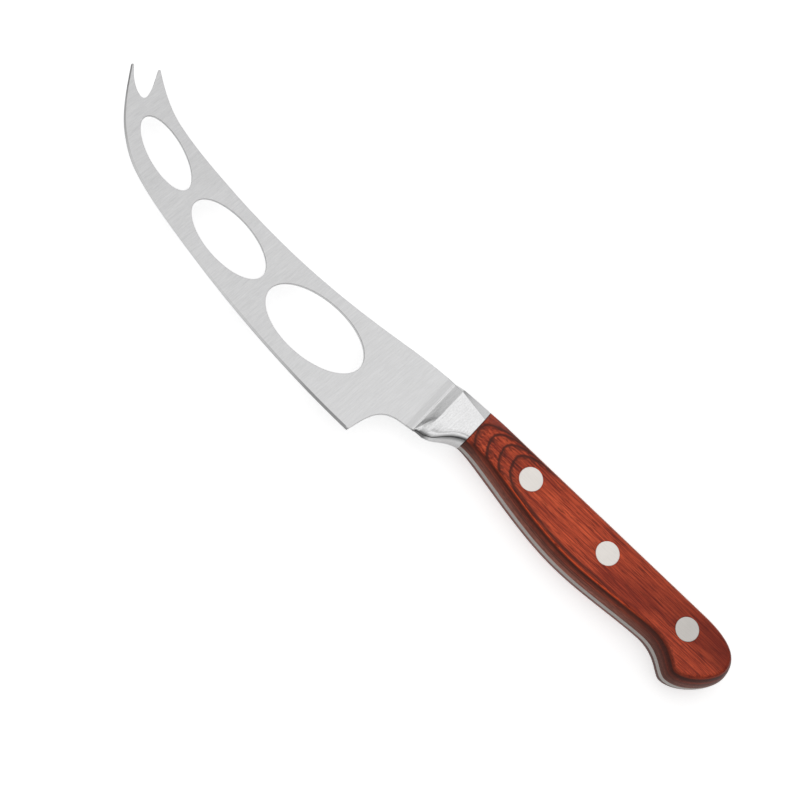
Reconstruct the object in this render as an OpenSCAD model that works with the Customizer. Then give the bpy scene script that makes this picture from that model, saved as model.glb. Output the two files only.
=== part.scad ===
// Cheese knife: forged blade with oval holes and a forked tip, ground bolster,
// full tang, two handle scales and three two-piece rivets.
// The knife lies on its side: X runs to the butt, Y to the spine, Z up.
// Outlines are drawn from the seam between bolster and handle (X = 0), the line of
// the rear rivets (Y = 0) and the middle plane of the steel (Z = 0).

/* [Blade] */
// Reach of the long tine ahead of the handle seam
blade_len = 143.6; // [136:0.5:154]
// Distance of the heel ahead of the handle seam
heel_reach = 26.4; // [25:0.1:29]
// Depth of the cutting edge at the heel, below the rivet line
heel_depth = 24.6; // [23:0.1:28]
// Distance of the spine's lowest point ahead of the handle seam
waist_reach = 72; // [66:0.5:78]
// Height of the spine's lowest point above the rivet line
waist_rise = 3; // [2:0.1:4]
// Thickness of the spine where it leaves the bolster
root_t = 1.8; // [1.5:0.1:2.4]
// Thickness of the spine at the fork
fork_t = 1.2; // [1:0.1:1.6]
// Thickness above the sharpened bevel, at the heel
edge_t = 0.6; // [0.4:0.05:0.8]
// Height of the sharpened bevel
bevel_h = 0.8; // [0.5:0.1:1.2]
// Flat left on the very edge
land_t = 0.1; // [0.06:0.01:0.2]

/* [Fork] */
// Height of the long tine's tip above the rivet line
long_tine_rise = 11.6; // [10:0.1:13]
// Distance of the short tine's tip behind the long one
short_tine_back = 6.6; // [5.5:0.1:7]
// Height of the short tine's tip above the long one
short_tine_lift = 4.3; // [3.8:0.1:4.9]
// Distance of the notch's round end behind the long tine's tip
notch_back = 9; // [8:0.1:9.4]
// Depth of the notch's round end below the long tine's tip
notch_drop = 4.7; // [4.4:0.1:5.4]
// Radius of the notch's round end
notch_r = 1; // [0.8:0.05:1.2]
// Radius of the tines' tips
tine_tip_r = 0.5; // [0.4:0.05:0.6]

/* [Holes] */
// Length of the front, middle and rear hole
hole_len = [24.4, 28.4, 33.8]; // [20:0.1:36]
// Width of the front, middle and rear hole
hole_w = [10.2, 13.7, 18.3]; // [8:0.1:20]
// Tilt of the front, middle and rear hole
hole_tilt = [-18.5, -5.7, 3]; // [-20:0.1:6]
// Lift of each hole's centre above the middle of the blade
hole_lift = [1.3, 0.6, 0.9]; // [-1:0.1:3]
// Steel left between the notch and the front hole
front_web = 3.9; // [3:0.1:5]
// Steel left between neighbouring holes
hole_web = 4.2; // [3.6:0.1:5]
// Least steel left between the rear hole and the heel; on a short blade the holes shrink to keep it
rear_web = 9; // [8:0.1:12]

/* [Bolster] */
// Distance of the bolster's crest ahead of the handle seam
crest_reach = 9.9; // [9.4:0.1:11]
// Thickness of the bolster at its crest
crest_t = 5.4; // [4.6:0.1:6]
// Length of the concave grind that runs up to the crest
grind_len = 6.4; // [5.5:0.1:7.5]
// Forward sweep of the crest at its lower end
crest_sweep = 1.8; // [0.5:0.1:2]
// Distance ahead of the seam where the finger scoop begins
scoop_reach = 8.6; // [8.2:0.1:9]
// Depth of the bolster's underside where the scoop begins, below the rivet line
scoop_depth = 10.5; // [10:0.05:10.9]
// Height of the half oval that closes the bolster's section underneath
keel_h = 3.5; // [2.5:0.1:5]
// Edge rounding on top of the bolster, at its crest
crest_top_r = 0.6; // [0.4:0.1:1]

/* [Handle] */
// Length of the handle from the seam to the butt
handle_len = 99.9; // [94:0.1:108]
// Height of the handle's top above the rivet line
handle_rise = 8.75; // [8:0.1:9.6]
// Depth of the handle's underside at the seam, below the rivet line
throat_depth = 4.85; // [4.5:0.05:5.4]
// Depth of the belly below the rivet line
belly_depth = 10.7; // [10:0.1:11.4]
// Distance of the belly behind the seam
belly_x = 45; // [42:0.5:48]
// Depth of the narrow place ahead of the hook, below the rivet line
neck_depth = 8.5; // [8:0.05:8.8]
// Distance of the narrow place ahead of the butt
neck_inset = 24.9; // [23.5:0.1:26]
// Depth of the hook below the rivet line
hook_depth = 13.3; // [12:0.05:13.5]
// Distance of the hook's lowest point ahead of the butt
hook_inset = 12.7; // [11.8:0.1:13]
// Depth of the butt's rearmost point below the rivet line
butt_depth = 0.75; // [0:0.05:1.5]
// Thickness of the tang
tang_t = 2.2; // [1.8:0.1:2.8]
// Thickness of each scale over its flat face
scale_t = 6.4; // [5.8:0.1:7.2]
// Thickness of the whole handle at the seam
seam_t = 11.2; // [10.4:0.1:12]
// Length over which the handle thickens behind the seam
flare_len = 16; // [14:0.5:17]
// Length over which the oval underside turns into the flatter side of the handle
oval_len = 24; // [20:0.5:30]
// Radius of the rounded handle sides
side_r = 12.9; // [11.5:0.1:15]
// Rounding of the edge around the flat faces
face_edge_r = 0.7; // [0.5:0.1:1]
// Rounding of the top edge at the seam
seam_top_r = 2.8; // [2:0.1:3.2]

/* [Rivets] */
// Distance of the front rivet behind the seam
front_rivet_x = 20.9; // [20.2:0.1:24]
// Height of the front rivet above the line of the other two
front_rivet_lift = 0.3; // [0:0.1:0.8]
// Distance from the front rivet to the middle one
rivet_pitch = 30.1; // [27:0.1:33]
// Distance of the rear rivet ahead of the butt
rear_rivet_inset = 17.9; // [16.5:0.1:20]
// Diameter of the rivet heads
head_d = 7.2; // [6.4:0.1:8]
// Thickness of the rivet heads
head_t = 1.8; // [1.4:0.1:2.4]
// Diameter of the hollow half's barrel
barrel_d = 4.8; // [4.2:0.1:5.4]
// Diameter of the solid half's post
post_d = 3.2; // [2.6:0.1:3.6]
// Metal left in the sleeve above the post's end
post_stop = 2.4; // [2:0.1:3]
// Room around heads and barrels in their holes
rivet_fit = 0.05; // [0.03:0.01:0.1]
// Room around the post in its sleeve
post_fit = 0.02; // [0.01:0.005:0.04]
// Room between the barrel's end and the other head
barrel_gap = 0.3; // [0.2:0.05:0.6]

/* [Hidden] */

$fn = 96;
steel_colour = [0.80, 0.80, 0.81];
rivet_colour = [0.86, 0.85, 0.83];
wood_colour = [0.62, 0.23, 0.13];

// How far cutting tools reach past the faces they cut
overrun = 1;
tang_half = tang_t / 2;
face_half = tang_half + scale_t;
seam_half = seam_t / 2;
crest_half = crest_t / 2;
// Slope of the bolster's side faces, carried on into the handle
wedge_slope = (seam_half - crest_half) / crest_reach;

// Helpers for curves

function mix(a, b, t) = a + (b - a) * t;
function clamp(t) = min(max(t, 0), 1);
function ease(t) = let (c = clamp(t)) c * c * (3 - 2 * c);

// Cubic through two knots, each [x, y, slope]
function hermite(a, b, x) =
    let (w = b[0] - a[0], t = (x - a[0]) / w, u = 1 - t)
    a[1] * u * u * (1 + 2 * t) + a[2] * w * t * u * u
    + b[1] * t * t * (3 - 2 * t) - b[2] * w * t * t * u;

// Height at x of the smooth curve through a row of knots
function curve(knots, x, i = 0) =
    i >= len(knots) - 2 || x <= knots[i + 1][0]
        ? hermite(knots[i], knots[i + 1], x)
        : curve(knots, x, i + 1);

function bezier(p, t) =
    let (u = 1 - t)
    p[0] * u * u * u + 3 * p[1] * u * u * t + 3 * p[2] * u * t * t + p[3] * t * t * t;
function bezier_run(p, n, first = 0) = [for (i = [first : n]) bezier(p, i / n)];

function arc(centre, r, from, to, n) =
    [for (i = [0 : n]) let (a = mix(from, to, i / n)) centre + r * [cos(a), sin(a)]];

// Outline of the blade, seen from the side

tip = [-blade_len, long_tine_rise];
short_tip = tip + [short_tine_back, short_tine_lift];
root_x = -crest_reach - grind_len;

// Places along the blade: round of the edge, behind the fork, start of the long sweep
nose_x = tip[0] + 12.5;
shoulder_x = tip[0] + 22.5;
sweep_x = tip[0] + 42.5;
// Drop of the spine and of the edge there, below the long tine's tip
shoulder_drop = 3.7;
nose_edge_drop = 16.6;
shoulder_edge_drop = 23.1;
// The forged blank runs on past the tines, and the fork is cut out of it
blank_over = 7;
blank_spine_rise = 10.4;
blank_edge_rise = 11;
// Dip of the spine where it meets the bolster's crest
crest_dip = 0.3;

spine_knots = [
    [tip[0] - blank_over, short_tip[1] + blank_spine_rise, -0.85],
    [short_tip[0] + tine_tip_r, short_tip[1], -0.72],
    [shoulder_x, tip[1] - shoulder_drop, -0.26],
    [sweep_x, mix(waist_rise, tip[1], 0.19), -0.11],
    [-waist_reach, waist_rise, 0],
    [mix(-waist_reach, root_x, 0.75), mix(waist_rise, handle_rise, 0.62), 0.15],
    [-crest_reach, handle_rise - crest_dip, 0.05],
    [0, handle_rise, 0]];

edge_knots = [
    [tip[0] - blank_over, tip[1] + blank_edge_rise, -1.85],
    [tip[0], tip[1] - tine_tip_r, -1.55],
    [nose_x, tip[1] - nose_edge_drop, -0.86],
    [shoulder_x, tip[1] - shoulder_edge_drop, -0.4],
    [sweep_x, mix(-heel_depth, tip[1], 0.215), -0.2],
    [-heel_reach, -heel_depth, 0]];

// The choil climbs from the heel to the bolster's underside
choil_len = 9.4;
choil_lean = 1.7;
choil_bend = [2.3, -1.2];
under_drop = 1;
heel = [-heel_reach, -heel_depth];
choil_end = [heel[0] + choil_len, -scoop_depth - under_drop];
choil = [
    heel,
    [heel[0] + choil_lean, mix(heel[1], choil_end[1], 0.55)],
    [heel[0], choil_end[1]] + choil_bend,
    choil_end];

under_knots = [
    [choil_end[0], choil_end[1], 0.15],
    [-scoop_reach, -scoop_depth, 0.1]];
scoop_knots = [
    [-scoop_reach, -scoop_depth, 0.6],
    [-0.6 * scoop_reach, mix(-scoop_depth, -throat_depth, 0.46), 0.88],
    [0, -throat_depth, 0.28]];

// The knife lies on its far scale, centred on its outline
outline_middle = [(tip[0] + handle_len) / 2, (short_tip[1] - heel_depth) / 2];
module placed() {
    translate([-outline_middle[0], -outline_middle[1], face_half]) children();
}

function spine_y(x) = curve(spine_knots, x);

// Thickness of the steel

// The blade's flat side is the plane through three thicknesses:
// the spine at the root, the spine at the fork and the edge at the heel
root_point = [root_x, spine_y(root_x), root_t / 2];
fork_point = [short_tip[0], short_tip[1], fork_t / 2];
heel_point = [heel[0], heel[1] + bevel_h, edge_t / 2];
flat_normal = cross(fork_point - root_point, heel_point - root_point);
flat_slope = -[flat_normal[0], flat_normal[1]] / flat_normal[2];
function flat_half(x, y) =
    root_point[2] + flat_slope * [x - root_point[0], y - root_point[1]];

// Radius of the concave grind, from its length and its rise
grind_rise = crest_half - root_t / 2;
grind_r = (grind_len * grind_len + grind_rise * grind_rise) / (2 * grind_rise);

// Half thickness of the steel at a place on the side
function steel_half(x, y) =
    x <= root_x ? flat_half(x, y)
    : x <= -crest_reach
        ? let (u = x - root_x, level = mix(flat_half(x, y), root_t / 2, ease(2 * u / grind_len)))
          level + grind_r - sqrt(grind_r * grind_r - u * u)
    : crest_half + wedge_slope * (x + crest_reach);

// Half thickness of the handle
function handle_half(x) =
    x >= flare_len ? face_half : hermite([0, seam_half, wedge_slope], [flare_len, face_half, 0], x);

// Rounded edges: how far the side is drawn in at height z,
// for a side of radius big and an edge of radius r
function draw_in(z, half, big, r) =
    let (over = max(z - half + r, 0))
    big - sqrt(big * big - z * z) + r - sqrt(max(r * r - over * over, 0));

// Heights at which a rounded edge is drawn, from the flat face down to z = low
edge_angles = [90, 64, 40, 18, 0];
function edge_heights(half, r, low, n) =
    concat(
        [for (a = edge_angles) half - r + r * sin(a)],
        [for (i = [1 : n]) mix(half - r, low, i / n)]);

// Forging: rings of points from the tip to the seam

// Radii of the edges on top and underneath, along the steel and the handle
blade_ease_r = 0.15;
function top_r(x) =
    x <= root_x ? blade_ease_r
    : x <= -crest_reach ? mix(blade_ease_r, crest_top_r, ease((x - root_x) / grind_len))
    : x <= 0 ? mix(crest_top_r, seam_top_r, (x + crest_reach) / crest_reach)
    : mix(seam_top_r, face_edge_r, ease(x / flare_len));
function under_r(x) = mix(blade_ease_r, face_edge_r, ease((x - root_x) / grind_len));

// Share of the oval in the underside: none on the blade, all of it on the bolster
function oval_share(x) =
    x <= -crest_reach ? ease((x - root_x) / grind_len) : 1 - ease(x / oval_len);

// How far the underside is drawn in at height z
function under_draw(x, z, half) =
    mix(
        draw_in(z, half, side_r, under_r(x)),
        keel_h * (1 - sqrt(max(1 - z * z / (half * half), 0))),
        oval_share(x));

// The crest sweeps forward towards the underside, and the rings on both sides of it follow
sweep_aft = 3;
function sweep(x, y) =
    let (
        ahead = clamp(1 + (x + crest_reach) / grind_len),
        behind = clamp(1 - (x + crest_reach) / sweep_aft),
        depth = max(-y, 0) / scoop_depth)
    crest_sweep * min(ahead, behind) * pow(depth, 3);

// Corners of a ring on one side: the sharpened edge, or a rounded edge below (up = 1) or above (up = -1)
top_corner_steps = 2;
under_corner_steps = 5;
bevel_steps = len(edge_angles) + under_corner_steps - 2;
function sharp_corner(x, y) =
    let (
        land = [y + land_t / 4, land_t / 2],
        shoulder = [y + bevel_h, flat_half(x, y + bevel_h)])
    concat([[y, 0]], [for (i = [0 : bevel_steps]) mix(land, shoulder, i / bevel_steps)]);
function round_corner(x, y, up) =
    let (half = steel_half(x, y), r = up < 0 ? top_r(x) : under_r(x))
    [for (z = edge_heights(half, r, 0, up < 0 ? top_corner_steps : under_corner_steps))
        [y + up * (up < 0 ? draw_in(z, half, side_r, r) : under_draw(x, z, half)), z]];
function reversed(list) = [for (i = [len(list) - 1 : -1 : 0]) list[i]];

// One side of a ring, from the middle of the underside to the middle of the top
side_steps = 4;
function half_ring(x, low, sharp) =
    let (
        lower = sharp ? sharp_corner(x, low) : reversed(round_corner(x, low, 1)),
        upper = round_corner(x, spine_y(x), -1),
        from = lower[len(lower) - 1][0],
        to = upper[0][0],
        between = [for (i = [1 : side_steps - 1])
            let (y = mix(from, to, i / side_steps)) [y, steel_half(x, y)]])
    [for (p = concat(lower, between, upper)) [x - sweep(x, p[0]), p[0], p[1]]];
function full_ring(half) =
    concat(half, [for (i = [len(half) - 2 : -1 : 1]) [half[i][0], half[i][1], -half[i][2]]]);

// Underside of the forging from the blank's tip to the seam, each [x, y, sharp]
edge_steps = 34;
choil_steps = 8;
grind_steps = 9;
scoop_steps = 8;
// Rings crowd towards the heel, and none stands closer than this ahead of the grind
edge_crowding = 0.85;
ring_gap = 0.4;
// Width of the crisp corner where the scoop begins
scoop_corner = 0.05;
function edge_x(i) = mix(tip[0] - blank_over, heel[0], 1 - pow(1 - i / edge_steps, edge_crowding));
under_xs = concat(
    [for (i = [0 : grind_steps]) mix(root_x, -crest_reach, i / grind_steps)],
    [-scoop_reach - scoop_corner]);
underside = concat(
    [for (i = [0 : edge_steps]) [edge_x(i), curve(edge_knots, edge_x(i)), true]],
    [for (p = bezier_run(choil, choil_steps, 1)) if (p[0] < root_x - ring_gap) [p[0], p[1], false]],
    [for (x = under_xs) [x, curve(under_knots, x), false]],
    [for (i = [0 : scoop_steps])
        let (x = mix(-scoop_reach, 0, i / scoop_steps))
        [x, curve(scoop_knots, x), false]]);

forging_rings = [for (p = underside) full_ring(half_ring(p[0], p[1], p[2]))];

// Solid skinned over rings of equal length, with flat ends
module skin(rings) {
    count = len(rings[0]);
    last = len(rings) - 1;
    points = [for (ring = rings) each ring];
    walls = [for (i = [0 : last - 1], j = [0 : count - 1])
        let (a = i * count + j, b = i * count + (j + 1) % count)
        each [[a, b, b + count], [a, b + count, a + count]]];
    ends = [for (j = [0 : count / 2 - 1]) each concat(
        lens_end(j, count, 0, false), lens_end(j, count, last * count, true))];
    polyhedron(points, concat(walls, ends), convexity = 8);
}

// Triangles that close a ring whose two halves mirror each other
function lens_end(j, count, first, flip) =
    let (
        a = first + j,
        b = first + j + 1,
        c = first + count - j - 1,
        d = first + (count - j) % count,
        pair = j == 0 ? [[a, c, b]] : j == count / 2 - 1 ? [[a, d, b]] : [[a, c, b], [a, d, c]])
    [for (t = pair) flip ? [t[0], t[2], t[1]] : t];

// Outline of the handle on the steel's middle plane

throat = [0, -throat_depth];
belly = [belly_x, -belly_depth];
neck = [handle_len - neck_inset, -neck_depth];
hook = [handle_len - hook_inset, -hook_depth];
butt = [handle_len, -butt_depth];
// Where the straight top bends down to the butt
top_bend = [handle_len - 15.9, handle_rise];
// Heights at which the curves turn upright, between hook, butt and top
hook_turn = 0.6;
top_turn = 0.64;

throat_curve = [throat, throat + [7, 1], belly + [-18, -0.2], belly];
belly_curve = [belly, belly + [10, 0], neck + [-8, -0.2], neck];
hook_curve = [neck, neck + [7, 0], hook + [-2.9, 0], hook];
butt_curve = [hook, hook + [5.4, 0], [butt[0], mix(hook[1], butt[1], hook_turn)], butt];
top_curve = [top_bend, top_bend + [11, 0], [butt[0], mix(butt[1], handle_rise, top_turn)], butt];

throat_steps = 12;
belly_steps = 5;
hook_steps = 10;
butt_steps = 12;
handle_under = concat(
    bezier_run(throat_curve, throat_steps),
    bezier_run(belly_curve, belly_steps, 1),
    bezier_run(hook_curve, hook_steps, 1),
    bezier_run(butt_curve, butt_steps, 1));
// The top's points pair up with the underside's, straight across the faces
top_steps = throat_steps + belly_steps + hook_steps;
handle_top = concat(
    [for (i = [0 : top_steps]) [handle_under[i][0] * top_bend[0] / hook[0], handle_rise]],
    bezier_run(top_curve, butt_steps, 1));

// Unit normals that point out of the handle, square to the seam at both ends.
// Each is taken over a few neighbours, so that the drawn-in outline stays smooth inside the hook
normal_span = 4;
function outward(points, i, side) =
    i == 0 ? [0, -side]
    : i == len(points) - 1 ? [1, 0]
    : let (k = min(i, len(points) - 1 - i, normal_span), d = points[i + k] - points[i - k])
      side * [d[1], -d[0]] / norm(d);

// Rings of the scale: the handle's outline drawn in for each height, from level 0 at the flat face
side_levels = 4;
scale_levels = len(edge_angles) + side_levels - 1;
function scale_point(points, i, side, level) =
    let (
        p = points[i],
        half = handle_half(p[0]),
        r = side > 0 ? under_r(p[0]) : top_r(p[0]),
        z = edge_heights(half, r, tang_half, side_levels)[level],
        draw = side > 0 ? under_draw(p[0], z, half) : draw_in(z, half, side_r, r),
        q = p - outward(points, i, side) * draw)
    [q[0], q[1], z];
function scale_ring(level) = concat(
    [for (i = [0 : len(handle_under) - 1]) scale_point(handle_under, i, 1, level)],
    [for (i = [len(handle_top) - 2 : -1 : 0]) scale_point(handle_top, i, -1, level)]);

module scale_body() {
    under_last = len(handle_under) - 1;
    count = len(handle_under) + len(handle_top) - 1;
    points = [for (level = [scale_levels : -1 : 0]) each scale_ring(level)];
    outer = scale_levels * count;
    walls = [for (i = [0 : scale_levels - 1], j = [0 : count - 1])
        let (a = i * count + j, b = i * count + (j + 1) % count)
        each [[a, b + count, b], [a, a + count, b + count]]];
    faces = [for (i = [0 : under_last - 1], first = [0, outer])
        let (
            a = first + i,
            b = a + 1,
            c = first + count - 1 - i,
            d = c - 1,
            pair = i == under_last - 1 ? [[a, c, b]] : [[a, d, b], [a, c, d]])
        each first == 0 ? [for (t = pair) [t[0], t[2], t[1]]] : pair];
    polyhedron(points, concat(walls, faces), convexity = 6);
}

// Rivets

rivet_at = [
    [front_rivet_x, front_rivet_lift],
    [front_rivet_x + rivet_pitch, 0],
    [handle_len - rear_rivet_inset, 0]];
head_seat = face_half - head_t;

module rivet_sleeve(i) {
    barrel_end = -head_seat + barrel_gap;
    bore_end = head_seat - post_stop;
    placed() color(rivet_colour) translate(rivet_at[i]) difference() {
        union() {
            translate([0, 0, head_seat]) cylinder(d = head_d, h = head_t);
            translate([0, 0, barrel_end]) cylinder(d = barrel_d, h = head_seat - barrel_end);
        }
        translate([0, 0, barrel_end - overrun])
            cylinder(d = post_d + 2 * post_fit, h = bore_end - barrel_end + overrun);
    }
}

module rivet_post(i) {
    post_end = head_seat - post_stop - barrel_gap;
    placed() color(rivet_colour) translate(rivet_at[i]) {
        translate([0, 0, -face_half]) cylinder(d = head_d, h = head_t);
        translate([0, 0, -head_seat]) cylinder(d = post_d, h = post_end + head_seat);
    }
}

// Sub-parts

// Cutter for the fork: round the long tine's tip, through the notch, round the short tine's tip
fork_reach = 20;
tine_steps = 8;
tip_steps = 5;
notch_mid = tip + [notch_back, -notch_drop];
notch_low = notch_mid - [0, notch_r];
notch_end = notch_mid + [notch_r, 0];
long_tip_round = arc(tip + [tine_tip_r, -tine_tip_r], tine_tip_r, 180, 40, tip_steps);
long_tip_end = long_tip_round[tip_steps];
short_tip_round = arc(short_tip + [tine_tip_r, -tine_tip_r], tine_tip_r, 180, 90, tip_steps);
long_inside = [long_tip_end, long_tip_end + [2.2, -3], notch_low - [2.3, 0], notch_low];
short_inside = [notch_end, notch_end + [0, 2.2], short_tip_round[0] + [1.8, -3.6], short_tip_round[0]];
fork_path = concat(
    [[tip[0] - fork_reach, tip[1] - tine_tip_r]],
    long_tip_round,
    bezier_run(long_inside, tine_steps, 1),
    arc(notch_mid, notch_r, -72, 0, tip_steps),
    [for (i = [1 : tine_steps - 1]) bezier(short_inside, i / tine_steps)],
    short_tip_round,
    [short_tip + [tine_tip_r, fork_reach], [tip[0] - fork_reach, short_tip[1] + fork_reach]]);

// Holes strung back from the notch, each web measured along the blade
function hole_span(i) =
    norm([hole_len[i] * cos(hole_tilt[i]), hole_w[i] * sin(hole_tilt[i])]);
hole_room = heel[0] - rear_web - notch_end[0] - front_web - 2 * hole_web;
hole_fit = min(1, hole_room / (hole_span(0) + hole_span(1) + hole_span(2)));
function hole_x(i) =
    i == 0 ? notch_end[0] + front_web + hole_fit * hole_span(0) / 2
    : hole_x(i - 1) + hole_web + hole_fit * (hole_span(i - 1) + hole_span(i)) / 2;
function hole_y(i) =
    (spine_y(hole_x(i)) + curve(edge_knots, hole_x(i))) / 2 + hole_lift[i];

module oval_hole(i) {
    translate([hole_x(i), hole_y(i), 0]) rotate(hole_tilt[i])
        scale([hole_fit * hole_len[i] / 2, hole_fit * hole_w[i] / 2, 1])
            cylinder(r = 1, h = root_t + 2 * overrun, center = true);
}

// Full tang, with a root that runs into the bolster
module tang() {
    root_in = 3;
    root_step = 1.5;
    root_top = handle_rise - root_step;
    root_low = root_step - throat_depth;
    over = reversed([for (i = [0 : len(handle_top) - 2]) handle_top[i]]);
    root = [[0, root_top], [-root_in, root_top], [-root_in, root_low], [0, root_low]];
    linear_extrude(tang_t, center = true) polygon(concat(handle_under, over, root));
}

module blade() {
    placed() color(steel_colour) difference() {
        union() {
            skin(forging_rings);
            tang();
        }
        linear_extrude(root_t + 2 * overrun, center = true) polygon(fork_path);
        for (i = [0 : 2]) oval_hole(i);
        for (p = rivet_at) translate(p)
            cylinder(d = barrel_d + 2 * rivet_fit, h = tang_t + 2 * overrun, center = true);
    }
}

module handle_scale() {
    difference() {
        scale_body();
        for (p = rivet_at) translate(p) {
            translate([0, 0, head_seat]) cylinder(d = head_d + 2 * rivet_fit, h = head_t + overrun);
            cylinder(d = barrel_d + 2 * rivet_fit, h = face_half);
        }
    }
}

module near_scale() {
    placed() color(wood_colour) handle_scale();
}

module far_scale() {
    placed() color(wood_colour) mirror([0, 0, 1]) handle_scale();
}

blade();
near_scale();
far_scale();
rivet_sleeve(0);  // front_rivet_sleeve
rivet_sleeve(1);  // middle_rivet_sleeve
rivet_sleeve(2);  // rear_rivet_sleeve
rivet_post(0);  // front_rivet_post
rivet_post(1);  // middle_rivet_post
rivet_post(2);  // rear_rivet_post
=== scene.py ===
import math

import bmesh
import bpy
import numpy as np
from mathutils import Matrix, Vector
from mathutils.geometry import delaunay_2d_cdt

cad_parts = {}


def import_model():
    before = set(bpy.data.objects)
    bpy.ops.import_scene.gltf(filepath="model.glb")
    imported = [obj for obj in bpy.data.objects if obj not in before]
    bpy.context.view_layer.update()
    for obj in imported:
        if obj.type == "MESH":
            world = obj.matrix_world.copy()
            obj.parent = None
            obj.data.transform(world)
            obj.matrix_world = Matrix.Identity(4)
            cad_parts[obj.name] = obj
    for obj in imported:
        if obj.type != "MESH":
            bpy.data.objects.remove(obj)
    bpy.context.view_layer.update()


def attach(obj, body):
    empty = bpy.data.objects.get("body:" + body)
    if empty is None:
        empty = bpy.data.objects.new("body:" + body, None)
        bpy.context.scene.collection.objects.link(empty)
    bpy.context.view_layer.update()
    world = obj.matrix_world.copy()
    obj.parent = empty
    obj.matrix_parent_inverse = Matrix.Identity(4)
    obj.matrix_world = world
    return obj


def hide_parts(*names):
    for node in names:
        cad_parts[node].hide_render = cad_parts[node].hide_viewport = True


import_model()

# Looks of a cheese knife. Shapes are in millimetres, drawn from the seam between bolster and handle (X = 0),
# the line of the rear rivets (Y = 0) and the middle plane of the steel (Z = 0), then set into the row frame.
MM = 0.001
ROW_SHIFT = Vector((21.85, 4.35, 7.5))

# Blade and fork
TIP = Vector((-143.6, 11.6))
SHORT_TIP = TIP + Vector((6.6, 4.3))
TINE_TIP_R = 0.5
NOTCH_MID = TIP + Vector((9.0, -4.7))
NOTCH_R = 1.0
HEEL = Vector((-26.4, -24.6))
WAIST_X, WAIST_Y = -72.0, 3.0
ROOT_HALF, FORK_HALF, HEEL_HALF = 0.9, 0.6, 0.3
BEVEL_H, LAND_T = 0.8, 0.1
BLADE_EASE_R = 0.15
HOLES = [  # centre, length, width, tilt
    (Vector((-118.018, -1.440)), 24.4, 10.2, -18.5),
    (Vector((-87.990, -7.266)), 28.4, 13.7, -5.7),
    (Vector((-52.760, -8.956)), 33.8, 18.3, 3.0)]
# Stations of its outline behind the tip, and the pull of the curves inside the fork at their ends
FORE_X, MID_X = TIP.x + 22.5, TIP.x + 42.5
SHORT_PULL, END_PULL = Vector((1.8, -3.6)), Vector((0, 2.2))
LOW_PULL, LONG_PULL = Vector((-2.3, 0)), Vector((2.2, -3))

# Bolster
CREST_X, CREST_HALF, CREST_SWEEP, SWEEP_AFT = -9.9, 2.7, 1.8, 3.0
GRIND_LEN = 6.4
ROOT_X = CREST_X - GRIND_LEN
FACET_X, FACET_BEND = -12.8, 0.35
SCOOP = Vector((-8.6, -10.5))
KEEL_H, FRONT_KEEL_H, KEEL_BLEND = 3.5, 6.5, 6.0
CREST_TOP_R = 0.6

# Handle
HANDLE_LEN, HANDLE_RISE = 99.9, 8.75
THROAT = Vector((0.0, -4.85))
BELLY = Vector((45.0, -10.7))
NECK = Vector((75.0, -8.5))
HOOK = Vector((87.2, -13.3))
BUTT = Vector((HANDLE_LEN, -0.75))
TOP_BEND = Vector((84.0, HANDLE_RISE))
TANG_HALF, FACE_HALF, SEAM_HALF = 1.1, 7.5, 5.6
FLARE_LEN, OVAL_LEN, FACET_FADE, FACET_WIDEN = 16.0, 24.0, 12.0, 0.35
SIDE_R = 12.9
FACE_EDGE_R, SEAM_TOP_R = 0.7, 2.8
WEDGE_SLOPE = (SEAM_HALF - CREST_HALF) / -CREST_X
# Pull of the handle's curves at their ends, and the heights of its turns at the butt as shares
THROAT_PULL, BELLY_PULLS = Vector((7, 1)), (Vector((-18, -0.2)), Vector((10, 0)))
NECK_PULLS, HOOK_PULLS = (Vector((-8, -0.2)), Vector((7, 0))), (Vector((-2.9, 0)), Vector((5.4, 0)))
TOP_PULL, HOOK_TURN, TOP_TURN = Vector((11, 0)), 0.6, 0.64

# Rivets
RIVETS = {"front": Vector((20.9, 0.3)), "middle": Vector((51.0, 0.0)), "rear": Vector((82.0, 0.0))}
HEAD_R, HEAD_T, BARREL_R, POST_R = 3.6, 1.8, 2.4, 1.6
RIVET_FIT, POST_FIT, POST_STOP, BARREL_GAP = 0.05, 0.02, 2.4, 0.3
HEAD_SEAT = FACE_HALF - HEAD_T


# Curves

SPREAD = 1.3


def mix(a, b, t):
    return a + (b - a) * t


def clamp(t):
    return min(max(t, 0.0), 1.0)


def ease(t):
    t = clamp(t)
    return t * t * (3 - 2 * t)


def hermite(a, b, x):
    """Cubic through two knots, each (x, y, slope)."""
    w = b[0] - a[0]
    t = (x - a[0]) / w
    u = 1 - t
    return (a[1] * u * u * (1 + 2 * t) + a[2] * w * t * u * u
            + b[1] * t * t * (3 - 2 * t) - b[2] * w * t * t * u)


def curve(knots, x):
    for a, b in zip(knots[:-2], knots[1:-1]):
        if x <= b[0]:
            return hermite(a, b, x)
    return hermite(knots[-2], knots[-1], x)


def bezier(p, n, first=0):
    points = []
    for i in range(first, n + 1):
        t = i / n
        u = 1 - t
        points.append(p[0] * u ** 3 + p[1] * 3 * u * u * t + p[2] * 3 * u * t * t + p[3] * t ** 3)
    return points


def arc(centre, r, start, end, n, first=0):
    angles = [math.radians(mix(start, end, i / n)) for i in range(first, n + 1)]
    return [centre + r * Vector((math.cos(a), math.sin(a))) for a in angles]


def span(a, b, n, first=0):
    return [mix(a, b, i / n) for i in range(first, n + 1)]


def spread(a, b, n, first=0):
    """Steps from a to b that lie closer together near a."""
    return [mix(a, b, (i / n) ** SPREAD) for i in range(first, n + 1)]


# Outlines of the steel

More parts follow.
